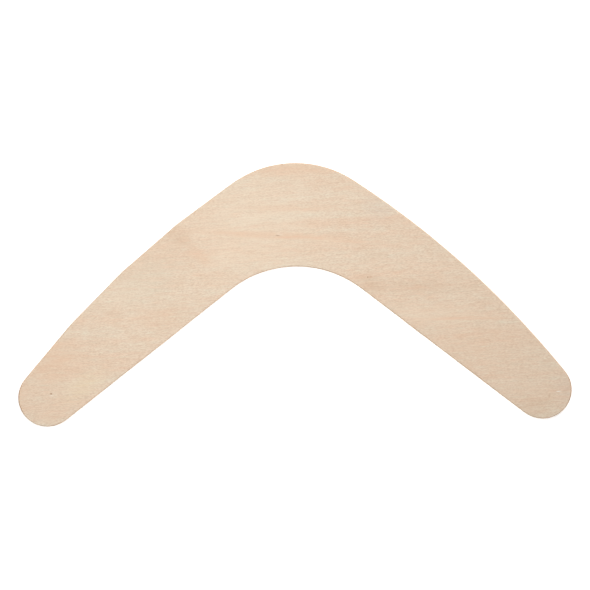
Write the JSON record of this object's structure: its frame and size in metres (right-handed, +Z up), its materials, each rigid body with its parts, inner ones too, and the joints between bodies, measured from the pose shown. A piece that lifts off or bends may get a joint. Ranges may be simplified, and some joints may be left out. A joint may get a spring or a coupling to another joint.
{
  "type": "boomerang",
  "caption": "Flat two-armed throwing boomerang blank of raw plywood, with round tips, a wide rounded elbow and gently bowed outer edges.",
  "frame": {"origin": "under the middle of the box around the blank, on the surface that the blank lies on", "axes": "+X from the left tip to the right tip with the elbow pointing away, +Y from the tips towards the elbow, +Z up through the thickness to the face veneer"},
  "size_m": [0.38, 0.1784, 0.005],
  "materials": {
    "face_wood": "raw sanded veneer, matt, grain from tip to tip",
    "crossband_wood": "raw sanded edge, end grain along the arms' length",
    "core_wood": "raw sanded edge, long grain from tip to tip",
    "glue_line": "cured adhesive, dull"
  },
  "bodies": {
    "root": {"face_veneer": "face_wood", "face_glue_film": "glue_line", "upper_crossband": "crossband_wood", "upper_core_glue_film": "glue_line", "core_ply": "core_wood", "lower_core_glue_film": "glue_line", "lower_crossband": "crossband_wood", "back_glue_film": "glue_line", "back_veneer": "face_wood"}
  },
  "joints": []
}
